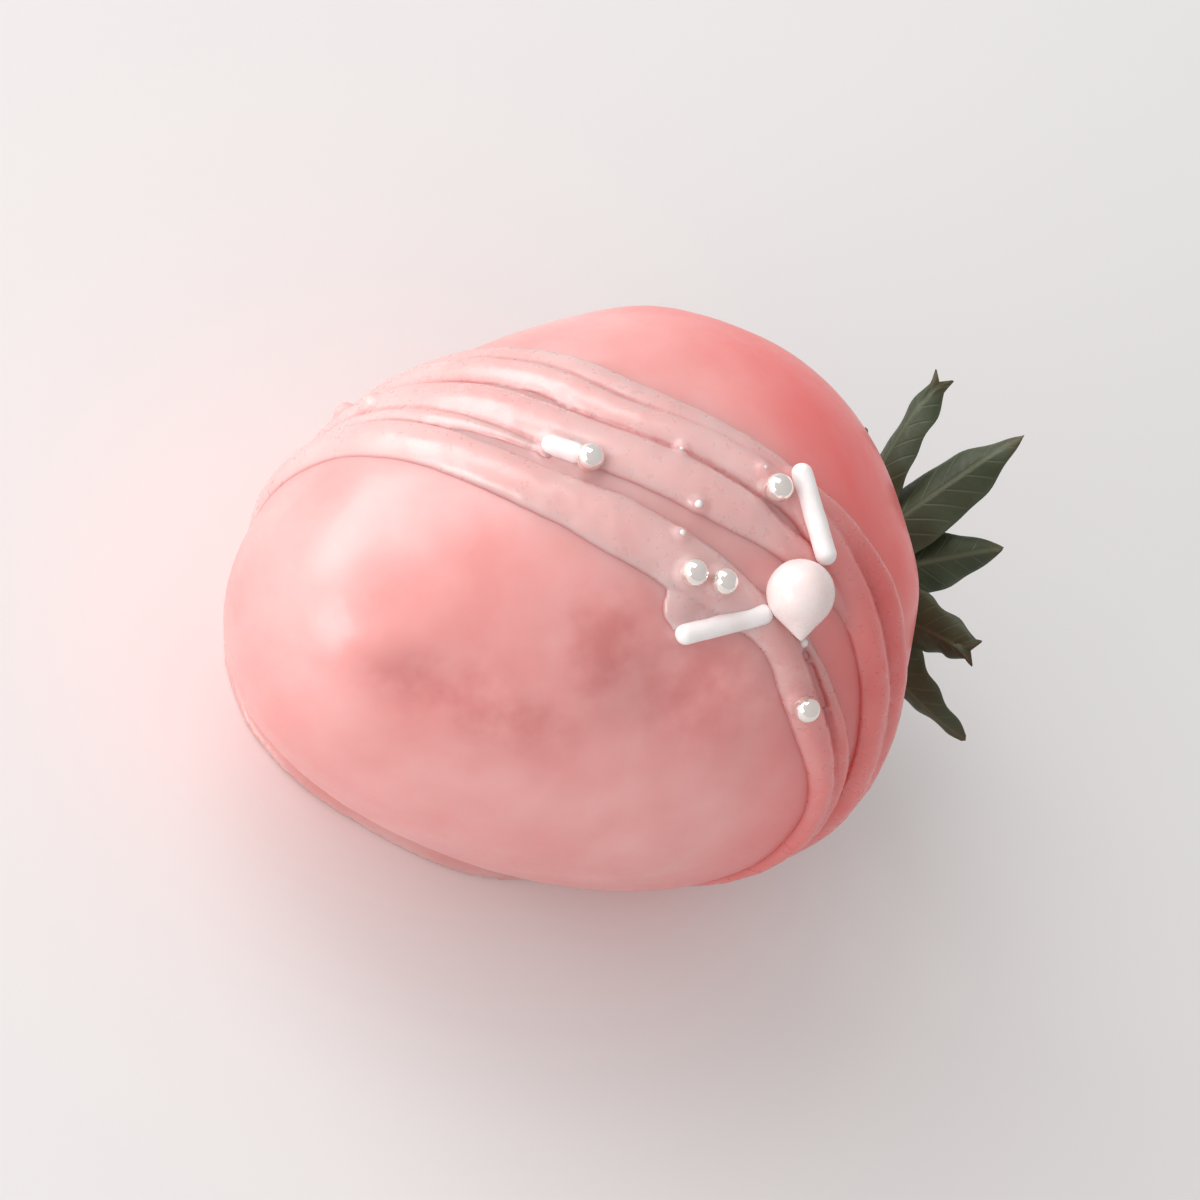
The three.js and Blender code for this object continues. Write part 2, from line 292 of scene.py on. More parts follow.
def add_node(tree, kind, links=None, **settings):
    """A node with its settings, and its inputs linked or set by name or number."""
    node = tree.nodes.new(kind)
    for setting, value in settings.items():
        setattr(node, setting, value)
    for key, value in (links or {}).items():
        if isinstance(value, bpy.types.NodeSocket):
            tree.links.new(value, node.inputs[key])
        else:
            node.inputs[key].default_value = value
    return node


def math_node(tree, operation, first, second):
    return add_node(tree, "ShaderNodeMath", {0: first, 1: second}, operation=operation).outputs[0]


def run_tree(piece, tree, values):
    """Runs a tree on a piece with these input values, and keeps the plain mesh."""
    modifier = piece.modifiers.new(tree.name, "NODES")
    modifier.node_group = tree
    for item in tree.interface.items_tree:
        if item.in_out == "INPUT" and item.name in values:
            modifier[item.identifier] = values[item.name]
    return settle(piece)


def points_object(name, points, edges, attributes):
    """Bare points in mm, joined by edges, with one named value or vector for each point."""
    mesh = bpy.data.meshes.new(name)
    mesh.from_pydata((np.asarray(points) * MM).tolist(), edges, [])
    for label, values in attributes.items():
        values = np.asarray(values, np.float32)
        is_vector = values.ndim == 2
        kind = "FLOAT_VECTOR" if is_vector else "FLOAT"
        attribute = mesh.attributes.new(label, kind, "POINT")
        attribute.data.foreach_set("vector" if is_vector else "value", values.ravel())
    piece = bpy.data.objects.new(name, mesh)
    bpy.context.scene.collection.objects.link(piece)
    return piece


def named(tree, label, kind="FLOAT"):
    node = add_node(tree, "GeometryNodeInputNamedAttribute", {"Name": label}, data_type=kind)
    return node.outputs["Attribute"]


def lumps(tree, start):
    """Noise about zero, from a tree's Lump Scale and Seed inputs."""
    bumps = {"Scale": start.outputs["Lump Scale"], "W": start.outputs["Seed"]}
    field = add_node(tree, "ShaderNodeTexNoise", bumps, noise_dimensions="4D")
    return math_node(tree, "SUBTRACT", field.outputs[0], 0.5)


def vector_node(tree, operation, inputs):
    return add_node(tree, "ShaderNodeVectorMath", inputs, operation=operation)


def painted(tree, start, geometry):
    """The geometry with the material of the tree's Material input."""
    node = add_node(tree, "GeometryNodeSetMaterial",
                    {"Geometry": geometry, "Material": start.outputs["Material"]})
    return node.outputs["Geometry"]


# %% [markdown]
# Drizzle
#
# The drizzle was flicked across the berry from a spoon, so each strand lies in a nearly
# upright cut through the berry and drapes over the skin. Rows of a few numbers say, at an
# angle round the cut, how far off the middle a strand lies, its half width and its height.
# A smooth curve through the rows gives the rest. Drawing the strands by hand as curves would
# do too, but then they would not lie on the skin.

# %% Rows of the drizzle
DRIZZLE_TURN = math.radians(38)
DRIZZLE_MIDDLE = 2
STRANDS = [
    [(-38, -1.4, 0.9, 0.8), (15, -1.7, 1.0, 0.9), (45, -3.15, 1.45, 1.0),
     (64, -3.1, 1.4, 1.0), (80, -4.35, 2.1, 0.95), (100, -5.7, 2.2, 1.0),
     (125, -6.9, 1.85, 1.0), (165, -6.4, 2.05, 1.0), (218, -8.6, 1.5, 0.9)],
    [(45, 2.6, 0.8, 0.4), (58, 2.5, 1.2, 0.7), (74, 1.65, 1.6, 0.9), (94, 0.2, 1.9, 0.95),
     (118, -1.5, 1.9, 0.95), (140, -1.2, 1.9, 0.95), (218, -1.6, 1.6, 0.85)],
    [(-38, 1.5, 1.2, 0.9), (13, 2.1, 1.5, 1.0), (46, 3.5, 1.6, 1.0), (75, 4.7, 1.4, 0.95),
     (93, 3.7, 1.45, 1.0), (115, 1.95, 1.5, 1.0), (135, 2.6, 1.6, 1.0), (218, 2.4, 1.5, 0.95)],
    [(-38, 3.4, 1.1, 0.8), (10, 3.9, 1.3, 0.9), (40, 6.1, 1.3, 0.9), (56, 6.9, 1.2, 0.85),
     (86, 5.4, 1.35, 0.75), (112, 4.2, 1.5, 0.7), (140, 4.9, 1.6, 0.7), (218, 5.2, 1.3, 0.7)],
    [(-38, -1.0, 0.6, 0.6), (26, -0.55, 0.7, 0.75), (47, -1.05, 0.7, 0.7), (66, -1.3, 0.6, 0.5)],
    [(121, -4.0, 1.1, 0.55), (143, -3.7, 1.2, 0.6), (205, -3.3, 1.1, 0.6)],
]
STRAND_END = dict(share=0.35, growth=0.016)


def strand_at(rows, around):
    """Offset, half width and height of a strand at these angles; it thins towards its ends."""
    rows = np.array(rows)
    number = np.arange(len(rows))
    before, after = rows[np.maximum(number - 1, 0)], rows[np.minimum(number + 1, len(rows) - 1)]
    slopes = (after - before) / (after - before)[:, :1]
    index = np.clip(np.searchsorted(rows[:, 0], around) - 1, 0, len(rows) - 2)
    rise = rows[index + 1] - rows[index]
    span = rise[:, :1]
    share = np.clip((around[:, None] - rows[index][:, :1]) / span, 0, 1)
    leaving, arriving = slopes[index] * span - rise, rise - slopes[index + 1] * span
    bend = share * (1 - share) * ((1 - share) * leaving + share * arriving)
    _, offset, half_width, height = (rows[index] + share * rise + bend).T
    from_end = np.minimum(around - rows[0, 0], rows[-1, 0] - around)
    thin = np.minimum(1, STRAND_END["share"] + STRAND_END["growth"] * from_end)
    return offset, half_width * thin, height * thin


for number, rows in enumerate(STRANDS):
    offset, half_width, _ = strand_at(rows, np.array([90.0]))
    print("strand", number, "at the top: offset", offset.round(1), "half width", half_width.round(2))

# %% [markdown]
# From rows to paths
#
# A strand hangs in a cut through the berry, so its spine is where that cut meets the skin. A
# formula for that would be long, and halving the way between inside and outside finds it as well.

# %% Paths of the drizzle
STRAND_SINK = 0.25
STRAND_STEP = 1.8
SKIN_HALVINGS = 40


def cut_point(offset, around, reach):
    along = DRIZZLE_MIDDLE + reach * np.cos(np.radians(around))
    x = along * math.cos(DRIZZLE_TURN) - offset * math.sin(DRIZZLE_TURN)
    y = along * math.sin(DRIZZLE_TURN) + offset * math.cos(DRIZZLE_TURN)
    return np.stack([x, y, AXIS_HEIGHT + reach * np.sin(np.radians(around))], -1)


def on_skin(offset, around):
    """Points where an upright cut meets the skin, found by halving."""
    near, far = 0 * around, 0 * around + 2 * HALF_LENGTH
    for _ in range(SKIN_HALVINGS):
        middle = (near + far) / 2
        inside = skin_angle_and_reach(cut_point(offset, around, middle))[1] < 0
        near, far = np.where(inside, middle, near), np.where(inside, far, middle)
    return cut_point(offset, around, near)


def strand_path(number, rows):
    """The spine of a strand, with what the node tree needs to know at each point of it."""
    steps = round((rows[-1][0] - rows[0][0]) / STRAND_STEP)
    around = np.linspace(rows[0][0], rows[-1][0], steps)
    offset, half_width, height = strand_at(rows, around)
    path = on_skin(offset, around)
    normal = skin_normal(path[:, 1], skin_angle_and_reach(path)[0])
    path = path - normal * STRAND_SINK
    edges = [(step, step + 1) for step in range(steps - 1)]
    return points_object("strand_%d" % number, path, edges, {
        "spine": path * MM, "outward": normal, "half_width": half_width * MM,
        "height": (height + STRAND_SINK) * MM})


paths = [strand_path(number, rows) for number, rows in enumerate(STRANDS)]
for path in paths:
    print(path.name, "points on its path:", len(path.data.vertices))

# %% [markdown]
# Strands from their paths
#
# The node tree sweeps a ring along each path, as wide as the strand is there, with a little
# noise that makes it swell and shrink. Then it presses the ring down to the strand's height
# above the skin, and nearly flat below, where nothing shows.

# %% Strand tree
def strand_tree():
    tree, start, end = new_tree("drizzle_strand", {
        "Under Depth": ("Float", 0.0004), "Lump Amount": ("Float", 0.12), "Lump Scale": ("Float", 260.0),
        "Seed": ("Float", 1.0), "Sides": ("Int", 24), "Material": ("Material", None),
    })
    outward_way = named(tree, "outward", "FLOAT_VECTOR")
    half_width = named(tree, "half_width")
    curve = add_node(tree, "GeometryNodeMeshToCurve", {"Mesh": start.outputs["Geometry"]})
    upright = add_node(tree, "GeometryNodeSetCurveNormal",
                       {"Curve": curve.outputs["Curve"], "Normal": outward_way}, mode="FREE")
    swell = math_node(tree, "MULTIPLY", lumps(tree, start), start.outputs["Lump Amount"])
    size = math_node(tree, "MULTIPLY", math_node(tree, "ADD", swell, 1.0), half_width)
    ring = add_node(tree, "GeometryNodeCurvePrimitiveCircle",
                    {"Resolution": start.outputs["Sides"], "Radius": 1.0})
    tube = add_node(tree, "GeometryNodeCurveToMesh", {
        "Curve": upright.outputs["Curve"], "Profile Curve": ring.outputs["Curve"],
        "Scale": size, "Fill Caps": True})
    here = add_node(tree, "GeometryNodeInputPosition").outputs[0]
    away = vector_node(tree, "SUBTRACT", {0: here, 1: named(tree, "spine", "FLOAT_VECTOR")})
    up = vector_node(tree, "DOT_PRODUCT", {0: away.outputs[0], 1: outward_way}).outputs["Value"]
    reach = add_node(tree, "GeometryNodeSwitch", input_type="FLOAT", links={
        "Switch": math_node(tree, "GREATER_THAN", up, 0.0),
        "False": start.outputs["Under Depth"], "True": named(tree, "height")}).outputs[0]
    press = math_node(tree, "SUBTRACT", math_node(tree, "DIVIDE", reach, half_width), 1.0)
    move = vector_node(tree, "SCALE", {0: outward_way, 3: math_node(tree, "MULTIPLY", up, press)})
    pressed = add_node(tree, "GeometryNodeSetPosition",
                       {"Geometry": tube.outputs["Mesh"], "Offset": move.outputs[0]})
    real = add_node(tree, "GeometryNodeRealizeInstances", {"Geometry": pressed.outputs["Geometry"]})
    tree.links.new(painted(tree, start, real.outputs["Geometry"]), end.inputs["Geometry"])
    return tree


# %% [markdown]
# Running the tree
#
# Each strand gets its own seed, so no two swell alike. The corners that would sink into the
# tray are lifted to the lowest skin of the berry.

# %% Strands
STRAND_TREE = strand_tree()
SEED_STEP = 3.7
strands = [run_tree(path, STRAND_TREE, {"Seed": SEED_STEP * number}) for number, path in enumerate(paths)]
for strand in strands:
    for corner in strand.data.vertices:
        corner.co.z = max(corner.co.z, LOWEST_SKIN * MM)
    outward(strand)
    print(strand.name, "triangles:", triangles(strand))

# %% [markdown]
# Drips
#
# Where a strand was cut off or ran down a little, it left a small rounded drop. A sculpted
# bump would do, but squashed balls on the skin melt into the strands in the next step.

# %% Drops
DROPS = [
    dict(y=-12.3, angle=-86, reach=1.1, height=1.5), dict(y=-12.9, angle=-71, reach=1.2, height=1.35),
    dict(y=-2.3, angle=25.0, reach=1.7, height=0.55), dict(y=-1.0, angle=27.5, reach=1.1, height=0.6),
]
DROP_RINGS = 14
DROP_AROUND = 28


def drop_body(number, drop):
    """A low ball that stands on the skin."""
    y, angle = np.array([float(drop["y"])]), np.array([float(drop["angle"])])
    stand = Vector((0, 0, 1)).rotation_difference(Vector(skin_normal(y, angle)[0])).to_matrix()
    turns = np.linspace(0, 2 * math.pi, DROP_AROUND, endpoint=False)
    rings = []
    for slope in np.linspace(0, math.pi, DROP_RINGS + 2)[1:-1]:
        reach = drop["reach"] * math.sin(slope)
        height = np.full(DROP_AROUND, -drop["height"] * math.cos(slope))
        ring = np.stack([reach * np.cos(turns), reach * np.sin(turns), height], -1)
        rings.append(ring @ np.array(stand).T + skin_point(y, angle)[0])
    return rings_object("drop_%d" % number, rings)


drops = [drop_body(number, drop) for number, drop in enumerate(DROPS)]
print("drops:", len(drops))

# %% [markdown]
# Drizzle as one soft body
#
# Strands that touched while they were warm ran together, but the coat under them had already
# set, so the drizzle keeps a clear edge on it. The strands are melted into one body of
# their own, finer than the coat, and its under side is hidden in the coat.

# %% Melting helpers
def melt(piece, voxel, steps):
    remesh = piece.modifiers.new("one_skin", "REMESH")
    remesh.mode = "VOXEL"
    remesh.voxel_size = voxel * MM
    smooth = piece.modifiers.new("fillets", "SMOOTH")
    smooth.factor = 0.5
    smooth.iterations = steps
    return settle(piece)


def corner_array(mesh, what="co"):
    values = np.zeros(len(mesh.vertices) * 3)
    source = mesh.vertices if what == "co" else mesh.vertex_normals
    source.foreach_get(what, values)
    return values.reshape(-1, 3)


def push_waves(piece, waves, seed):
    """Moves corners along their normals by soft noise: waves hold (height in mm, bumps per mm)."""
    places, normals = corner_array(piece.data), corner_array(piece.data, "vector")
    shift = np.zeros(len(places))
    for height, bumps in waves:
        shift += height * np.array([noise.noise(Vector(place / MM * bumps) + seed) for place in places])
    shift *= np.clip(places[:, 2] / MM / 2, 0, 1)
    piece.data.vertices.foreach_set("co", (places + normals * shift[:, None] * MM).ravel())
    piece.data.update()
    piece.data.shade_smooth()


def crease_depth(piece, steps):
    """How far each corner lies below its surroundings, in mm; it is negative on a crest."""
    places, normals = corner_array(piece.data), corner_array(piece.data, "vector")
    ends = np.zeros(len(piece.data.edges) * 2, int)
    piece.data.edges.foreach_get("vertices", ends)
    first, second = ends.reshape(-1, 2).T
    count = np.bincount(ends, minlength=len(places))[:, None]
    starts, stops = np.concatenate([first, second]), np.concatenate([second, first])
    soft = places
    for _ in range(steps):
        near = [np.bincount(starts, soft[stops, axis], len(places)) for axis in range(3)]
        soft = (soft + np.stack(near, -1) / count) / 2
    return ((soft - places) * normals).sum(1) / MM


def store(piece, label, values):
    """Keeps one number for each corner, for a material to read."""
    attribute = piece.data.attributes.new(label, "FLOAT", "POINT")
    attribute.data.foreach_set("value", np.asarray(values, np.float32))


# %% [markdown]
# Melting the coat and the drizzle
#
# One voxel remesh turns berry and foot into a single skin, a second one does so for the
# strands, and smoothing rounds the joins. What a material has to know about a corner, such
# as whether it lies in a crease, is worked out here and kept with it.

# %% Melted pieces
COAT_VOXEL, COAT_STEPS = 0.34, 8
DRIZZLE_VOXEL, DRIZZLE_STEPS = 0.22, 2
COAT_WAVES = [(0.10, 0.11), (0.03, 0.45)]
DRIZZLE_WAVES = [(0.10, 0.22), (0.05, 0.8)]
COAT_SEED, DRIZZLE_SEED = Vector((31.4, 5.9, 12.2)), Vector((4.4, 17.1, 8.3))
CREASE_STEPS = 14
HOLLOW_SHADE_FALL = 1.6
MOST_PROUD = 1.5
# Dents of the coat that take painted shade, a darker and redder tone.
HOLLOW_SHADE_SPOTS = [
    dict(y=-18, angle=47, along=6.5, around=5.0), dict(y=-13.5, angle=54, along=6.0, around=4.0),
    dict(y=-7.5, angle=33, along=5.0, around=8.0), dict(y=-0.5, angle=42, along=7.5, around=6.5),
]


def hollow_shade_at(y, angle):
    """1 in the middle of a hollow that takes painted shade, and 0 away from all of them."""
    amount = 0
    for spot in HOLLOW_SHADE_SPOTS:
        aside = np.radians(angle - spot["angle"]) * HALF_WIDTH
        away = np.hypot((y - spot["y"]) / spot["along"], aside / spot["around"])
        amount = np.maximum(amount, np.exp(-HOLLOW_SHADE_FALL * away * away))
    return amount


coat = melt(fused("chocolate_coat", [body, foot]), COAT_VOXEL, COAT_STEPS)
drizzle = melt(fused("drizzle", strands + drops), DRIZZLE_VOXEL, DRIZZLE_STEPS)
push_waves(coat, COAT_WAVES, COAT_SEED)
push_waves(drizzle, DRIZZLE_WAVES, DRIZZLE_SEED)
for piece in (coat, drizzle):
    places = corner_array(piece.data) / MM
    angle, reach = skin_angle_and_reach(places)
    proud = reach * HALF_HEIGHT
    crease = crease_depth(piece, CREASE_STEPS)
    # Thickness, hollow and crease drive the painted shade of the chocolate.
    store(piece, "thickness", np.clip(proud, 0, MOST_PROUD))
    store(piece, "hollow", hollow_shade_at(places[:, 1], angle))
    store(piece, "crease", crease)
    print(piece.name, "triangles:", triangles(piece), "up to", round(proud.max(), 2), "mm proud",
          "creases", crease.min().round(3), "to", crease.max().round(3))

# %% [markdown]
# Sugar toppings
#
# The toppings are a sugar pearl with a drawn tip, two pressed rods and the stub of a third,
# tiny balls with a pearly shine, and a few stray crumbs. They fell on while the drizzle was
# wet, so they sit a little into it. Each kind starts as one small turned shape, because balls,
# rods and drops are all round about one line.

# %% Shapes of the toppings
PEARL_RADIUS = 2.4
PEARL_TIP = 1.4
DRAGEE_RADIUS = 1.0
ROD_RADIUS = 0.75
ROD_LENGTH = 7.4
STUB_LENGTH = 3.2
CRUMB_RADIUS = 0.3
SHAPE_AROUND, PEARL_AROUND, CRUMB_AROUND = 32, 48, 8
DRAGEE_STEPS, CRUMB_STEPS = 17, 6
ROD_STEPS = 12
TIP_STEPS = 10


def turned_object(name, profile, around=SHAPE_AROUND):
    """A body turned about +Y from (reach, place) pairs in mm; its ends are closed with a point."""
    turns = np.linspace(0, 2 * math.pi, around, endpoint=False)
    rings = [np.stack([reach * np.cos(turns), np.full(around, place), reach * np.sin(turns)], -1)
             for reach, place in profile[1:-1]]
    return rings_object(name, rings, (0, profile[0][1], 0), (0, profile[-1][1], 0))


def ball_profile(radius, steps):
    angles = np.linspace(0, math.pi, steps)
    return [(radius * math.sin(angle), -radius * math.cos(angle)) for angle in angles]


def rod_profile(radius, length, steps=9):
    bend = np.linspace(0, math.pi / 2, steps)
    straight = length / 2 - radius
    low_end = [(radius * math.sin(angle), -straight - radius * math.cos(angle)) for angle in bend]
    middle = [(radius, place) for place in np.linspace(-straight, straight, ROD_STEPS)[1:-1]]
    high_end = [(reach, -place) for reach, place in reversed(low_end)]
    return low_end + middle + high_end


def drop_profile(radius, tip, steps=22):
    """A ball whose far end is drawn out into a straight-sided point."""
    touch = math.acos(1 / tip)
    angles = np.linspace(0, math.pi - touch, steps)
    ball = [(radius * math.sin(angle), -radius * math.cos(angle)) for angle in angles]
    reach, place = ball[-1]
    shares = np.linspace(0, 1, TIP_STEPS)[1:]
    return ball + [(reach * (1 - share), place + (tip * radius - place) * share) for share in shares]


pearl_shape = turned_object("pearl_shape", drop_profile(PEARL_RADIUS, PEARL_TIP), PEARL_AROUND)
rod_shape = turned_object("rod_shape", rod_profile(ROD_RADIUS, ROD_LENGTH))
stub_shape = turned_object("stub_shape", rod_profile(ROD_RADIUS, STUB_LENGTH))
dragee_shape = turned_object("dragee_shape", ball_profile(DRAGEE_RADIUS, DRAGEE_STEPS))
crumb_shape = turned_object("crumb_shape", ball_profile(CRUMB_RADIUS, CRUMB_STEPS), CRUMB_AROUND)
SHAPES = (pearl_shape, rod_shape, stub_shape, dragee_shape, crumb_shape)
for shape in SHAPES:
    print(shape.name, "triangles:", triangles(shape))

# %% [markdown]
# Setting the toppings
#
# A node tree puts a copy of a shape on each point, turned and sized as the point says, makes
# the copies real, and roughens them a little so that no two are alike. A ray from outside
# finds how high the melted surface lies under each one.

# %% Setting toppings on the surface
def sprinkle_tree():
    tree, start, end = new_tree("sprinkle", {
        "Shape": ("Object", None), "Lump Amount": ("Float", 0.0001), "Lump Scale": ("Float", 900.0),
        "Seed": ("Float", 1.0), "Material": ("Material", None),
    })
    shape = add_node(tree, "GeometryNodeObjectInfo", {"Object": start.outputs["Shape"]})
    copies = add_node(tree, "GeometryNodeInstanceOnPoints", {
        "Points": start.outputs["Geometry"], "Instance": shape.outputs["Geometry"],
        "Rotation": named(tree, "facing", "FLOAT_VECTOR"), "Scale": named(tree, "size", "FLOAT_VECTOR")})
    real = add_node(tree, "GeometryNodeRealizeInstances", {"Geometry": copies.outputs["Instances"]})
    push = math_node(tree, "MULTIPLY", lumps(tree, start), start.outputs["Lump Amount"])
    normal = add_node(tree, "GeometryNodeInputNormal")
    offset = vector_node(tree, "SCALE", {0: normal.outputs[0], 3: push})
    lumpy = add_node(tree, "GeometryNodeSetPosition",
                     {"Geometry": real.outputs["Geometry"], "Offset": offset.outputs[0]})
    tree.links.new(painted(tree, start, lumpy.outputs["Geometry"]), end.inputs["Geometry"])
    return tree


RAY_START = 6


def surface_height(place, normal):
    """Highest of the coat and the drizzle above a point of the skin, in mm along the normal."""
    start = Vector(place + normal * RAY_START) * MM
    hits = [tree.ray_cast(start, -Vector(normal))[0] for tree in SURFACES]
    return RAY_START - min((hit - start).length for hit in hits if hit) / MM


def sprinkle(name, spots, shape, radius, sink, lump, seed, length=0):
    """One piece of a kind of topping: spots are (y, angle, turn, size)."""
    places, facings, sizes = [], [], []
    for y, angle, turn, size in spots:
        normal = skin_normal(np.array([float(y)]), np.array([float(angle)]))[0]
        place = skin_point(np.array([float(y)]), np.array([float(angle)]))[0]
        lift = surface_height(place, normal) + (radius - sink) * size
        stand = Vector((0, 0, 1)).rotation_difference(Vector(normal)).to_matrix()
        facing = stand @ Matrix.Rotation(math.radians(turn), 3, "Z")
        places.append(place + normal * lift)
        facings.append(facing.to_euler())
        sizes.append((size, size, size))
        half = np.array(facing @ Vector((0, length / 2 - radius, 0))) if length else np.zeros(3)
        seat = place + normal * (lift - (radius - sink) * size)
        seat_reach = math.sqrt(radius**2 - (radius - sink) ** 2) * size
        SEATS.append((seat - half, seat + half, seat_reach))
    points = points_object(name, places, [], {"facing": facings, "size": sizes})
    piece = run_tree(points, SPRINKLE_TREE, {"Shape": shape, "Lump Amount": lump * MM, "Seed": seed})
    piece.data.shade_smooth()
    print(name, len(spots), "set, triangles:", triangles(piece))
    return piece


SPRINKLE_TREE = sprinkle_tree()
SEATS = []
SURFACES = [BVHTree.FromObject(piece, bpy.context.evaluated_depsgraph_get()) for piece in (coat, drizzle)]
PEARL_SPOTS = [(5.5, 24, -95, 1.0)]
ROD_SPOTS = [(0.4, 29, 6, 1.0), (8.0, 10, -85, 1.0)]
STUB_SPOTS = [(-7.7, -15.2, -43, 1.0)]
DRAGEE_SPOTS = [
    (-6.5, -10.5, 0, 1.0), (5.7, 4.4, 40, 1.04), (-2.0, 18.3, 80, 1.0), (0.1, 20.5, 10, 0.97),
    (6.8, 45.5, 55, 0.96), (2.0, -122, 20, 1.0), (-4.5, -119, 70, 1.0),
]
CRUMB_SPOTS = [
    (-0.3, 4.8, 10, 1.1), (0.0, -7.6, 50, 0.7), (-2.1, 10.2, 80, 0.8), (5.3, 0.0, 120, 0.7),
    (6.9, 33.9, 30, 1.2), (6.5, -128, 95, 0.8), (-1.0, -112, 15, 1.0),
]
pearl = sprinkle("sugar_pearl", PEARL_SPOTS, pearl_shape, PEARL_RADIUS, sink=0.35, lump=0.10, seed=2.0)
rods = sprinkle("sugar_rods", ROD_SPOTS, rod_shape, ROD_RADIUS,
                sink=0.15, lump=0.14, seed=5.0, length=ROD_LENGTH)
stub = sprinkle("sugar_stub", STUB_SPOTS, stub_shape, ROD_RADIUS,
                sink=0.4, lump=0.14, seed=6.0, length=STUB_LENGTH)
dragees = sprinkle("dragees", DRAGEE_SPOTS, dragee_shape, DRAGEE_RADIUS, sink=0.25, lump=0.03, seed=7.0)
crumbs = sprinkle("sugar_crumbs", CRUMB_SPOTS, crumb_shape, CRUMB_RADIUS, sink=0.08, lump=0.25, seed=9.0)
for shape in SHAPES:
    bpy.data.objects.remove(shape)

# %% [markdown]
# Chocolate round the toppings
#
# Each topping sank into soft chocolate, which rose a little round its foot, and the coat
# ended in a low rim where it met the leaf cap. The corners of the coat and the drizzle near
# each seat are pushed out, less with the distance. A second body for each mound would leave
# a seam, and this leaves none.

# %% Mounds
MOUND_HEIGHT = 0.28
MOUND_REACH = 0.75
CAP_SEAT = np.array([0, LEAF_END, AXIS_HEIGHT - TIP_RISE])
CAP_SEAT_REACH = 4.1


def raise_round(piece):
    """Pushes the corners out round the seat of every topping and of the leaf cap."""
    places, normals = corner_array(piece.data), corner_array(piece.data, "vector")
    lift = np.zeros(len(places))
    for first, second, reach in SEATS + [(CAP_SEAT, CAP_SEAT, CAP_SEAT_REACH)]:
        line = second - first
        share = np.clip((places / MM - first) @ line / max(line @ line, 1e-9), 0, 1)[:, None]
        away = np.linalg.norm(places / MM - first - share * line, axis=1)
        near = np.clip((reach + MOUND_REACH - away) / MOUND_REACH, 0, 1)
        lift = np.maximum(lift, MOUND_HEIGHT * near * near * (3 - 2 * near))
    piece.data.vertices.foreach_set("co", (places + normals * lift[:, None] * MM).ravel())
    piece.data.update()
    print(piece.name, "corners raised:", int((lift > 0).sum()))


for piece in (coat, drizzle):
    raise_round(piece)

# %% [markdown]
# Leaf cap
#
# A strawberry's cap is a small disc with two rings of pointed leaves and a stub of stem. Each
# leaf is swept from a lens-shaped section, so it is thin at its edges and closed all round.
# Its middle rib is sunk on top and stands out below. Numbers kept at each corner, such as how
# far along and how far to the side it is, let the material draw the veins on the leaf.

# %% Leaf bodies
CAP_AT = (0, LEAF_END + 0.4, AXIS_HEIGHT - TIP_RISE)
LEAF_ROOT = 2.2
LEAF_THICK = 0.42
LEAF_RINGS = 44
LEAF_AROUND = 36
RIB_WIDTH = 0.35
RIB_DEPTH = 0.14
RIB_BELOW = 1.6
ABOVE_DISC = 0.9
CUP_HEIGHT = 0.9
WAVE_HEIGHT, RIPPLE_HEIGHT = 0.35, 0.12
SERRATION = 0.05
FORK_START = 0.72
FORK_HALF_WIDTH = 0.42
TIP_PULL = 0.7
LEAVES = [
    dict(turn=-68, length=12.4, width=4.8, lift=5, curl=2, fork=0),
    dict(turn=-44, length=15.9, width=4.6, lift=18, curl=20, fork=0.16),
    dict(turn=-17, length=16.6, width=5.4, lift=30, curl=16, fork=0),
    dict(turn=14, length=12.0, width=5.0, lift=40, curl=20, fork=0),
    dict(turn=47, length=12.5, width=5.0, lift=16, curl=-10, fork=0.2),
    dict(turn=83, length=13.5, width=5.2, lift=10, curl=26, fork=0),
    dict(turn=121, length=12.5, width=4.8, lift=14, curl=8, fork=0),
    dict(turn=158, length=11.5, width=5.2, lift=24, curl=20, fork=0),
    dict(turn=197, length=11.0, width=4.6, lift=18, curl=24, fork=0.18),
    dict(turn=233, length=13.0, width=5.2, lift=12, curl=10, fork=0),
    dict(turn=268, length=13.2, width=4.8, lift=26, curl=24, fork=0),
]


def leaf_width(share):
    return np.maximum(0.0, 1.9 * (share + 0.15) ** 0.45 * np.maximum(1 - share, 0) ** 0.8)


def leaf_middle(leaf, share):
    lift = np.radians(leaf["lift"] + leaf["curl"] * share * 0.5)
    reach = leaf["length"] * share
    turn = math.radians(leaf["turn"])
    out = LEAF_ROOT + reach * np.cos(lift)
    return np.stack([out * math.sin(turn), reach * np.sin(lift), out * math.cos(turn)], -1)


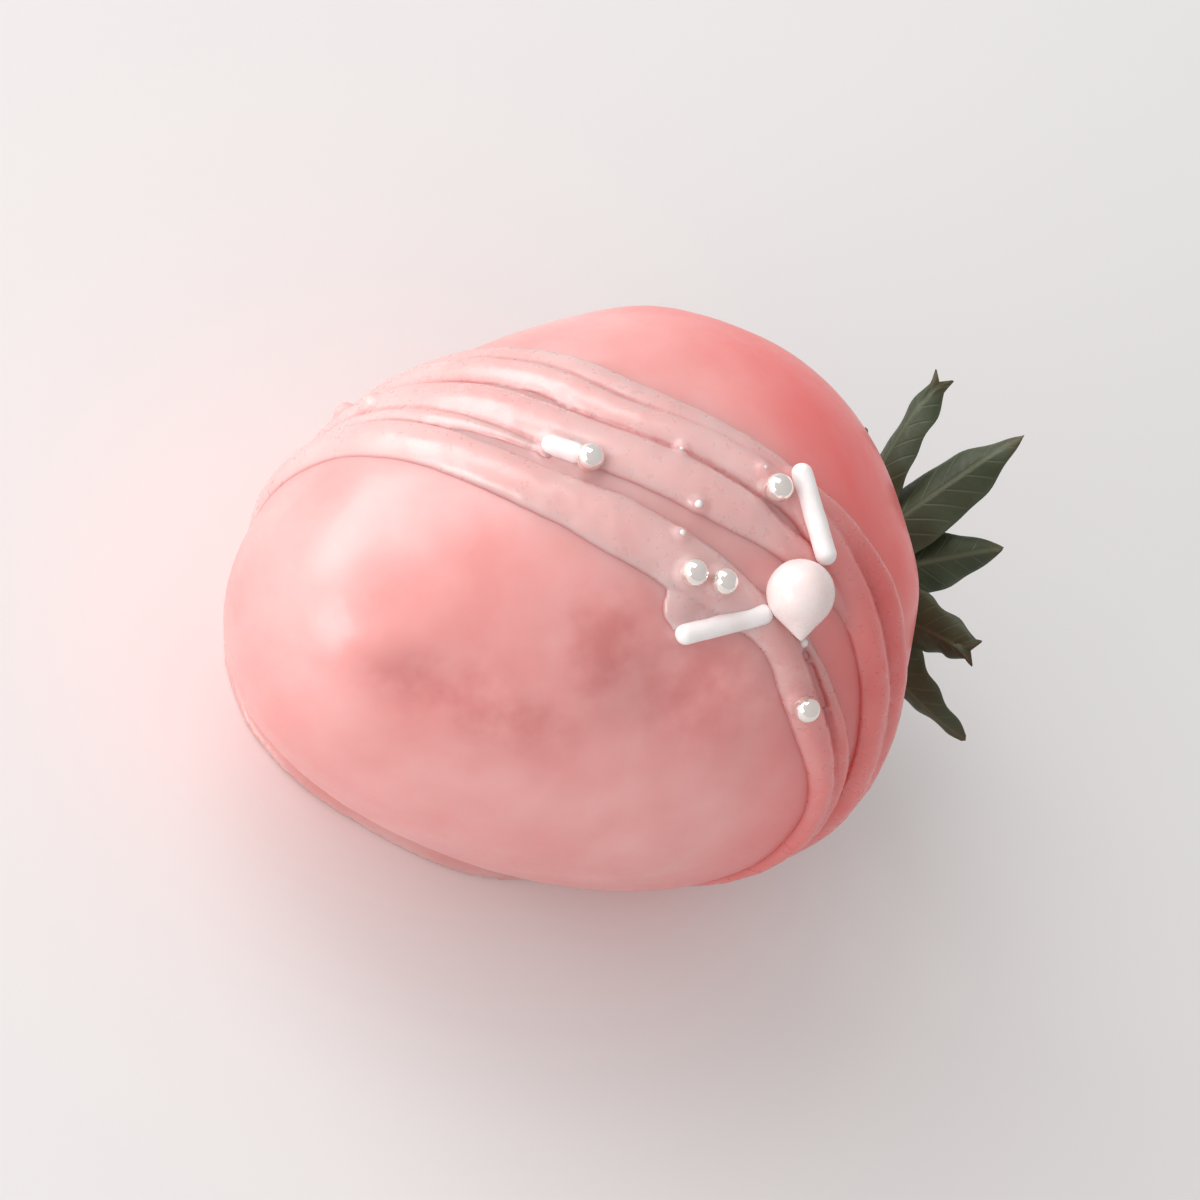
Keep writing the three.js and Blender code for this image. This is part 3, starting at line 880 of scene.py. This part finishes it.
def leaf_body(number, leaf):
    shares = np.linspace(0, 1, LEAF_RINGS + 1)[:-1][:, None]
    loop = np.linspace(0, 2 * math.pi, LEAF_AROUND, endpoint=False)[None, :]
    side, face = np.cos(loop) + 0 * shares, np.sin(loop) + 0 * shares
    near_tip = np.clip((shares - FORK_START) / (1 - FORK_START), 0, 1)
    notch = leaf["fork"] * near_tip**1.5 * np.clip(1 - np.abs(side) / 0.8, 0, 1)
    width = np.maximum(leaf_width(shares), FORK_HALF_WIDTH * near_tip * (leaf["fork"] > 0))
    teeth = np.sin(23 * shares + 2.1 * number) * np.clip(4 * (1 - shares), 0, 1)
    width = width * (1 + SERRATION * teeth)
    along = shares - notch
    middle = leaf_middle(leaf, along)
    forward = leaf_middle(leaf, along + 0.01) - leaf_middle(leaf, along - 0.01)
    forward /= np.linalg.norm(forward, axis=-1, keepdims=True)
    turn = math.radians(leaf["turn"])
    sideways = np.array([math.cos(turn), 0, -math.sin(turn)])
    outward_way = np.cross(forward, sideways)
    outward_way /= np.linalg.norm(outward_way, axis=-1, keepdims=True)
    cup = CUP_HEIGHT * side**2 * leaf_width(shares)
    wave = WAVE_HEIGHT * side * np.sin(9 * shares + leaf["turn"])
    ripple = RIPPLE_HEIGHT * side**3 * np.sin(31 * shares + 1.7 * number)
    aside = side * leaf["width"] * width / 2
    rib = RIB_DEPTH * np.exp(-((aside / RIB_WIDTH) ** 2)) * (1 - shares) * np.where(face > 0, 1.0, RIB_BELOW)
    fade = np.clip(6 * (1 - shares), 0.25, 1)
    height = ABOVE_DISC + cup + wave + ripple + face * LEAF_THICK / 2 * fade - rib * np.abs(face) * fade
    corners = middle + sideways * aside[..., None] + outward_way * height[..., None]
    tip = corners[-1].mean(0)
    if not leaf["fork"]:
        point = leaf_middle(leaf, np.array(1.0)) + outward_way[-1, 0] * ABOVE_DISC
        tip = tip * (1 - TIP_PULL) + point * TIP_PULL
    piece = rings_object("leaf_%d" % number, corners + np.array(CAP_AT), None, tip + np.array(CAP_AT))
    store(piece, "along", np.concatenate([np.broadcast_to(along, side.shape).ravel(), [0, 1]]))
    store(piece, "aside", np.concatenate([aside.ravel(), [0, 0]]))
    store(piece, "side", np.concatenate([side.ravel(), [0, 0]]))
    store(piece, "under", np.concatenate([np.clip(0.5 - 2 * face, 0, 1).ravel(), [0.5, 0.5]]))
    return piece


leaves = fused("leaves", [leaf_body(number, leaf) for number, leaf in enumerate(LEAVES)])
leaves.data.shade_smooth()
print("leaves:", len(LEAVES), "triangles:", triangles(leaves))

# %% [markdown]
# Disc and stem
#
# The disc that the leaves grow from and the stub of stem are one turned body. Soft ribs run
# along the stem, and its end was snapped off, so the end face is uneven.

# %% Disc and stem body
STEM_AROUND = 60
STEM_RIBS = 7
STEM_RIB_DEPTH = 0.05
STEM_HEIGHT = 6
LEAN_FROM, LEAN_RATE, LEAN_POWER = 1.8, 0.0375, 1.3
SNAP_FROM, SNAP_HEIGHT = 5.4, 0.12
CAP_PROFILE = [
    (3.5, -1.1), (3.75, -0.5), (4.0, 0.1), (4.1, 0.5), (3.9, 0.9), (3.2, 1.25), (2.3, 1.5), (1.7, 1.8),
    (1.35, 2.2), (1.2, 2.7), (1.14, 3.4), (1.1, 4.2), (1.06, 5.0), (1.02, 5.5), (0.86, 5.8), (0.5, 5.92),
]


def stem_body():
    turns = np.linspace(0, 2 * math.pi, STEM_AROUND, endpoint=False)
    rings = []
    for reach, place in CAP_PROFILE:
        rib = STEM_RIB_DEPTH * np.cos(STEM_RIBS * turns + 0.25 * place) * min(1, place / 2)
        ribbed = reach * (1 + rib)
        lean = LEAN_RATE * max(0, place - LEAN_FROM) ** LEAN_POWER
        snapped = place + SNAP_HEIGHT * np.sin(2 * turns + 1.0) * (place > SNAP_FROM)
        rings.append(np.stack([ribbed * np.cos(turns) + lean, snapped, ribbed * np.sin(turns)], -1))
    piece = rings_object("stem", np.array(rings) + np.array(CAP_AT))
    heights = np.repeat([place for _, place in CAP_PROFILE], STEM_AROUND)
    store(piece, "up_stem", np.concatenate([heights, [0, STEM_HEIGHT]]) / STEM_HEIGHT)
    return piece


stem = stem_body()
print("stem triangles:", triangles(stem))

# %% [markdown]
# An effect that several finishes share
#
# Chocolate, sugar and leaf all show a soft blotching of tone and a fine unevenness of the
# surface. One shader group makes both from noise at two sizes, in the piece's own
# coordinates, and each material sets its own sizes.

# %% Shared mottle group
def mottle_group():
    group = bpy.data.node_groups.new("mottle", "ShaderNodeTree")
    for label, value in (("Blotch Scale", 90.0), ("Grain Scale", 1200.0), ("Grain Share", 0.3)):
        socket = group.interface.new_socket(label, in_out="INPUT", socket_type="NodeSocketFloat")
        socket.default_value = value
    for label in ("Blotch", "Grain", "Height"):
        group.interface.new_socket(label, in_out="OUTPUT", socket_type="NodeSocketFloat")
    start, end = group.nodes.new("NodeGroupInput"), group.nodes.new("NodeGroupOutput")
    place = add_node(group, "ShaderNodeTexCoord").outputs["Object"]
    blotch = add_node(group, "ShaderNodeTexNoise",
                      {"Vector": place, "Scale": start.outputs["Blotch Scale"], "Detail": 3.0}).outputs[0]
    grain = add_node(group, "ShaderNodeTexNoise",
                     {"Vector": place, "Scale": start.outputs["Grain Scale"], "Detail": 2.0}).outputs[0]
    fine = math_node(group, "MULTIPLY", grain, start.outputs["Grain Share"])
    height = math_node(group, "ADD", blotch, fine)
    for label, value in (("Blotch", blotch), ("Grain", grain), ("Height", height)):
        group.links.new(value, end.inputs[label])
    return group


MOTTLE = mottle_group()

# %% [markdown]
# Small helpers for materials
#
# Most finishes here blend two tones by a mask, so the helpers make a mask from a number, mix
# two colours by it, and vary the roughness and the bump with the shared mottle.

# %% Material helpers
GRAIN_SPAN = (0.3, 0.7)
BLOTCH_SPAN = (0.35, 0.65)


def new_material(name, **settings):
    """A Principled material: settings are its own fixed sockets, such as Subsurface_Weight."""
    material = bpy.data.materials.new(name)
    material.use_nodes = True
    shader = material.node_tree.nodes["Principled BSDF"]
    for key, value in settings.items():
        shader.inputs[key.replace("_", " ")].default_value = value
    return material, material.node_tree, shader


def mottle(tree, blotch, grain, share=0.3):
    sizes = {"Blotch Scale": blotch, "Grain Scale": grain, "Grain Share": share}
    return add_node(tree, "ShaderNodeGroup", sizes, node_tree=MOTTLE).outputs


def mixed(tree, factor, first, second):
    """A colour between two: each is a colour of three numbers or a socket."""
    node = add_node(tree, "ShaderNodeMix", data_type="RGBA")
    for key, value in ((0, factor), (6, first), (7, second)):
        if isinstance(value, bpy.types.NodeSocket):
            tree.links.new(value, node.inputs[key])
        else:
            node.inputs[key].default_value = (*value, 1) if key else value
    return node.outputs[2]


def ranged(tree, value, low, high, to_low=0.0, to_high=1.0):
    node = add_node(tree, "ShaderNodeMapRange", {0: value, 1: low, 2: high, 3: to_low, 4: to_high})
    return node.outputs[0]


def attribute(tree, label):
    return add_node(tree, "ShaderNodeAttribute", attribute_name=label).outputs["Fac"]


def blotched(tree, uneven, first, second):
    return mixed(tree, ranged(tree, uneven["Blotch"], *BLOTCH_SPAN), first, second)


def coloured(tree, shader, colour):
    tree.links.new(colour, shader.inputs["Base Color"])


def roughened(tree, shader, uneven, middle, spread):
    rough = ranged(tree, uneven["Grain"], *GRAIN_SPAN, middle - spread, middle + spread)
    tree.links.new(rough, shader.inputs["Roughness"])


def bumped(tree, shader, height, strength, distance):
    bump = add_node(tree, "ShaderNodeBump", {"Height": height, "Strength": strength, "Distance": distance})
    tree.links.new(bump.outputs[0], shader.inputs["Normal"])


# %% [markdown]
# Pink chocolate
#
# Compound chocolate is opaque, but light enters it a little and comes back redder, so the
# shaded parts glow. Painted shade makes the coat darker and redder in its hollows, deep red
# towards the leaves, and redder at the thin edges and in the creases of the drizzle. The
# numbers kept at each corner drive that. The gloss is satin, with a fine orange-peel bump.

# %% Chocolate materials
COAT_PINK = (0.82, 0.335, 0.320)
COAT_PALE = (0.90, 0.470, 0.455)
# The drizzle is paler than the coat, partly as painted highlight on the crests of its strands.
DRIZZLE_PINK = (0.87, 0.420, 0.405)
DRIZZLE_PALE = (0.92, 0.540, 0.525)
# Painted shade in the hollows.
HOLLOW_SHADE_PINK = (0.68, 0.215, 0.205)
# Painted shade for the creases and the thin edges of the drizzle.
CREASE_SHADE_PINK = (0.72, 0.210, 0.200)
# Painted deep red shade towards the leaf end.
LEAF_END_SHADE_PINK = (0.90, 0.112, 0.106)
LEAF_END_SHADE_FADE = (0.004, 0.0135)
COAT_MOTTLE = (150, 1500, 0.25)
STREAK_MOTTLE = (320, 1500, 0.25)
PALE_MASK = (0.36, 0.70, 0, 0.7)
STREAK_MASK = (0.66, 0.36, 0.2, 0.95)
LEAF_END_SHADE_STREAKS = (0.3, 0.7, 0.92, 0.76)
CREASE_SHADE_SPAN = (0.015, 0.09)
EDGE_SHADE_AMOUNT = 0.7


def chocolate(name, pink, pale, edge, crease, rough):
    """Pink chocolate with painted shade: edge is how thick, in mm, it has to be to show its full
    colour without the painted shade of a thin edge, and crease is how far its creases take the
    redder painted shade."""
    material, tree, shader = new_material(
        name, Subsurface_Weight=0.6, Subsurface_Radius=(0.0055, 0.0014, 0.0011), Subsurface_Scale=1.0,
        Specular_IOR_Level=1.0, IOR=1.5)
    place = add_node(tree, "ShaderNodeTexCoord").outputs["Object"]
    along = add_node(tree, "ShaderNodeSeparateXYZ", {0: place}).outputs["Y"]
    uneven = mottle(tree, *COAT_MOTTLE)
    streaks = mottle(tree, *STREAK_MOTTLE)
    toned = mixed(tree, ranged(tree, uneven["Blotch"], *PALE_MASK), pink, pale)
    streaked = ranged(tree, streaks["Blotch"], *STREAK_MASK)
    # Painted shade in the hollows, broken up by streaks.
    toned = mixed(tree, math_node(tree, "MULTIPLY", attribute(tree, "hollow"), streaked), toned, HOLLOW_SHADE_PINK)
    # Painted shade in the creases.
    crease_shade = ranged(tree, attribute(tree, "crease"), *CREASE_SHADE_SPAN, 0, crease)
    toned = mixed(tree, crease_shade, toned, CREASE_SHADE_PINK)
    # Painted shade along the thin edges of the drizzle.
    if edge:
        thin = ranged(tree, attribute(tree, "thickness"), 0, edge, EDGE_SHADE_AMOUNT, 0)
        toned = mixed(tree, thin, toned, CREASE_SHADE_PINK)
    # Painted deep red shade towards the leaf end, broken up by streaks.
    leaf_end = math_node(tree, "MULTIPLY", ranged(tree, along, *LEAF_END_SHADE_FADE),
                         ranged(tree, streaks["Blotch"], *LEAF_END_SHADE_STREAKS))
    coloured(tree, shader, mixed(tree, leaf_end, toned, LEAF_END_SHADE_PINK))
    roughened(tree, shader, uneven, rough, spread=0.04)
    bumped(tree, shader, uneven["Height"], strength=0.12, distance=0.0003)
    return material


coat_material = chocolate("pink_chocolate", COAT_PINK, COAT_PALE, edge=0, crease=0.35, rough=0.34)
drizzle_material = chocolate(
    "drizzled_chocolate", DRIZZLE_PINK, DRIZZLE_PALE, edge=0.3, crease=0.7, rough=0.30)

# %% [markdown]
# Sugar finishes
#
# The pearl is glazed sugar with a soft shine, the rods are matt pressed sugar with a chalky
# grain, and the tiny balls carry a pearly metallic film that mirrors what is around them.

# %% Sugar materials
SUGAR_MOTTLE = (420, 3800, 0.5)


def sugar(name, colour, shade, rough, bump, **settings):
    material, tree, shader = new_material(name, **settings)
    uneven = mottle(tree, *SUGAR_MOTTLE)
    coloured(tree, shader, blotched(tree, uneven, shade, colour))
    roughened(tree, shader, uneven, rough, spread=0.05)
    bumped(tree, shader, uneven["Height"], strength=bump, distance=0.0001)
    return material


# The pearl's pink tint is painted reflection of the pink chocolate round it.
pearl_material = sugar("glazed_sugar", (0.89, 0.77, 0.755), (0.85, 0.70, 0.68), 0.30, 0.12,
                       Subsurface_Weight=0.3, Subsurface_Radius=(0.002, 0.0014, 0.0012), Subsurface_Scale=1.0)
rod_material = sugar("pressed_sugar", (0.97, 0.93, 0.92), (0.90, 0.81, 0.80), 0.50, 0.45,
                     Subsurface_Weight=0.25, Subsurface_Radius=(0.0015, 0.001, 0.0009), Subsurface_Scale=1.0)
dragee_material = sugar("pearly_sugar", (0.96, 0.91, 0.88), (0.92, 0.82, 0.77), 0.12, 0.05, Metallic=0.8)

# %% [markdown]
# Leaf and stem finishes
#
# A fresh cap is dark green above, here darkened to near black by painted shade, with paler
# veins and edge, and grey green below. The veins run from the middle rib towards the edge,
# slanting to the tip.

# %% Leaf material
# The top colours are darkened to near black as painted shade.
LEAF_TOP_SHADED, LEAF_TOP_SHADED_PALE = (0.010, 0.018, 0.006), (0.024, 0.040, 0.011)
LEAF_UNDER, LEAF_UNDER_PALE = (0.040, 0.058, 0.026), (0.065, 0.085, 0.042)
VEIN_TOP_SHADED, VEIN_UNDER = (0.055, 0.080, 0.028), (0.10, 0.12, 0.065)
LEAF_DRY = (0.10, 0.065, 0.028)
VEINS_ALONG, VEIN_SLANT, VEIN_STRENGTH = 9.0, 0.75, 0.55
RIB_SPAN, EDGE_SPAN, DRY_SPAN, SNAPPED_SPAN = (0.06, 0.26), (0.86, 1.0), (0.86, 1.0), (0.86, 0.99)
LEAF_MOTTLE, STEM_MOTTLE = (260, 2600, 0.4), (300, 2400, 0.5)
STEM_GREEN, STEM_PALE, STEM_SNAPPED = (0.075, 0.105, 0.03), (0.14, 0.18, 0.06), (0.34, 0.27, 0.13)


def vein_lines(tree, along):
    """1 on the middle rib, less on the side veins and the edge, and 0 between them."""
    aside = math_node(tree, "ABSOLUTE", attribute(tree, "aside"), 0.0)
    rib = ranged(tree, aside, *RIB_SPAN, 1.0, 0.0)
    forward = math_node(tree, "MULTIPLY", along, VEINS_ALONG)
    slant = math_node(tree, "SUBTRACT", forward, math_node(tree, "MULTIPLY", aside, VEIN_SLANT))
    near_vein = ranged(tree, math_node(tree, "PINGPONG", slant, 0.5), 0.0, 0.10, 1.0, 0.0)
    veins = math_node(tree, "MULTIPLY", near_vein, VEIN_STRENGTH)
    side = math_node(tree, "ABSOLUTE", attribute(tree, "side"), 0.0)
    edge = ranged(tree, side, *EDGE_SPAN, 0.0, 0.5)
    return math_node(tree, "MAXIMUM", math_node(tree, "MAXIMUM", rib, veins), edge)


def leaf_finish():
    material, tree, shader = new_material("strawberry_leaf", Specular_IOR_Level=0.4)
    uneven = mottle(tree, *LEAF_MOTTLE)
    along = attribute(tree, "along")
    lines = vein_lines(tree, along)
    # The top side, with its painted shade.
    top = mixed(tree, lines, blotched(tree, uneven, LEAF_TOP_SHADED, LEAF_TOP_SHADED_PALE), VEIN_TOP_SHADED)
    under = mixed(tree, lines, blotched(tree, uneven, LEAF_UNDER, LEAF_UNDER_PALE), VEIN_UNDER)
    green = mixed(tree, attribute(tree, "under"), top, under)
    coloured(tree, shader, mixed(tree, ranged(tree, along, *DRY_SPAN, 0.0, 0.7), green, LEAF_DRY))
    roughened(tree, shader, uneven, middle=0.51, spread=0.09)
    height = math_node(tree, "SUBTRACT", uneven["Height"], lines)
    bumped(tree, shader, height, strength=0.4, distance=0.00012)
    return material


def stem_finish():
    material, tree, shader = new_material("strawberry_stem", Specular_IOR_Level=0.4)
    uneven = mottle(tree, *STEM_MOTTLE)
    green = blotched(tree, uneven, STEM_GREEN, STEM_PALE)
    snapped = ranged(tree, attribute(tree, "up_stem"), *SNAPPED_SPAN)
    coloured(tree, shader, mixed(tree, snapped, green, STEM_SNAPPED))
    roughened(tree, shader, uneven, middle=0.6, spread=0.1)
    bumped(tree, shader, uneven["Height"], strength=0.5, distance=0.00015)
    return material


leaf_material = leaf_finish()
stem_material = stem_finish()

# %% [markdown]
# Joining the looks to the solid model
#
# Every piece rides on the one body of the model and gets its material. The pieces of the
# berry stand for its solid, and the leaves and stem for theirs, and these solids are hidden.

# %% Pieces and their places in the model
PIECES = [
    (coat, coat_material, "coat", "coated_berry"),
    (drizzle, drizzle_material, "drizzle", "coated_berry"),
    (pearl, pearl_material, "pearl", "coated_berry"),
    (rods, rod_material, "rod", "coated_berry"),
    (stub, rod_material, "rod", "coated_berry"),
    (dragees, dragee_material, "dragee", "coated_berry"),
    (crumbs, rod_material, "rod", "coated_berry"),
    (leaves, leaf_material, "leaf", "leaf_cap"),
    (stem, stem_material, "stem", "leaf_cap"),
]
for piece, material, slot, node in PIECES:
    piece.data.materials.clear()
    piece.data.materials.append(material)
    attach(piece, "root")
    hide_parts(node)
    print(piece.name, "stands for", node)

# %% [markdown]
# Studio
#
# A wide pale floor, a large soft lamp from the tip's left and a weaker one above it, a low one
# in front for the lower parts of the berry, and an even pale sky that fills the shade.

# %% Floor, lamps and sky
FLOOR_REACH = 3.0
FLOOR_TONE, FLOOR_PALE = (0.87, 0.86, 0.855), (0.90, 0.89, 0.885)
CENTRE = (0.0, 0.003, 0.018)
LAMPS = [
    dict(name="window", direction=(-0.72, -0.62, 0.30), distance=0.7, width=0.8, height=0.3, power=2.9),
    dict(name="top_lamp", direction=(-0.61, -0.30, 0.74), distance=0.9, width=0.5, height=0.5, power=1.7),
    dict(name="front_lamp", direction=(0.10, -0.97, 0.20), distance=0.8, width=0.5, height=0.3, power=2.5),
]
SKY_TONE = (1.0, 0.985, 0.98, 1)
SKY_STRENGTH = 0.57


def floor_piece():
    corners = [(-FLOOR_REACH, -FLOOR_REACH, 0), (FLOOR_REACH, -FLOOR_REACH, 0),
               (FLOOR_REACH, FLOOR_REACH, 0), (-FLOOR_REACH, FLOOR_REACH, 0)]
    piece = mesh_object("floor", np.array(corners) / MM, [(0, 1, 2, 3)])
    material, tree, shader = new_material("pale_floor", Specular_IOR_Level=0.2)
    uneven = mottle(tree, 14, 300)
    coloured(tree, shader, mixed(tree, uneven["Blotch"], FLOOR_TONE, FLOOR_PALE))
    roughened(tree, shader, uneven, middle=0.65, spread=0.05)
    piece.data.materials.append(material)
    piece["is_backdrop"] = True


def lamp(name, direction, distance, width, height, power):
    """A soft rectangular lamp that shines at the berry."""
    light = bpy.data.lights.new(name, "AREA")
    light.shape = "RECTANGLE"
    light.size, light.size_y = width, height
    light.energy = power
    holder = bpy.data.objects.new(name, light)
    towards = Vector(direction).normalized()
    holder.location = Vector(CENTRE) + towards * distance
    holder.rotation_euler = (-towards).to_track_quat("-Z", "Y").to_euler()
    bpy.context.scene.collection.objects.link(holder)


def pale_sky():
    world = bpy.data.worlds.new("pale_sky")
    world.use_nodes = True
    sky = world.node_tree.nodes["Background"]
    sky.inputs["Color"].default_value = SKY_TONE
    sky.inputs["Strength"].default_value = SKY_STRENGTH
    bpy.context.scene.world = world


floor_piece()
for setting in LAMPS:
    lamp(**setting)
pale_sky()
bpy.context.scene.view_settings.view_transform = "Standard"
print("lamps:", len(LAMPS))

# %% [markdown]
# Camera
#
# The photo looks down on the berry from its right side, and the picture is turned about the
# line of sight. The lens is long, so the berry keeps its proportions.

# %% Camera
AZIMUTH, ELEVATION, ROLL = math.radians(26.4), math.radians(50), math.radians(50)
CAMERA_DISTANCE = 0.85
LENS = 360
SENSOR_WIDTH = 36
CLIP_START = 0.01
AIM = (0.27, 4.0, 18.1)


def photo_camera():
    back = Vector((math.sin(AZIMUTH) * math.cos(ELEVATION), -math.cos(AZIMUTH) * math.cos(ELEVATION),
                   math.sin(ELEVATION)))
    upright = (-back).to_track_quat("-Z", "Y").to_matrix()
    turned = upright @ Matrix.Rotation(ROLL, 3, "Z")
    camera = bpy.data.objects.new("camera", bpy.data.cameras.new("camera"))
    camera.data.lens = LENS
    camera.data.sensor_width = SENSOR_WIDTH
    camera.data.clip_start = CLIP_START
    camera.location = Vector(AIM) * MM + back * CAMERA_DISTANCE
    camera.rotation_euler = turned.to_euler()
    bpy.context.scene.collection.objects.link(camera)
    bpy.context.scene.camera = camera
    print("camera at, m:", [round(value, 3) for value in camera.location])


photo_camera()

# %% [markdown]
# Sizes
#
# The box of the looks is kept beside the box of the solid model, to see that nothing grew.

# %% Sizes
visual_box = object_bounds()
for label, (low, high) in (("solid model", cad_box), ("looks", visual_box)):
    print(label, "mm:", [round(value / MM, 1) for value in (high - low)])
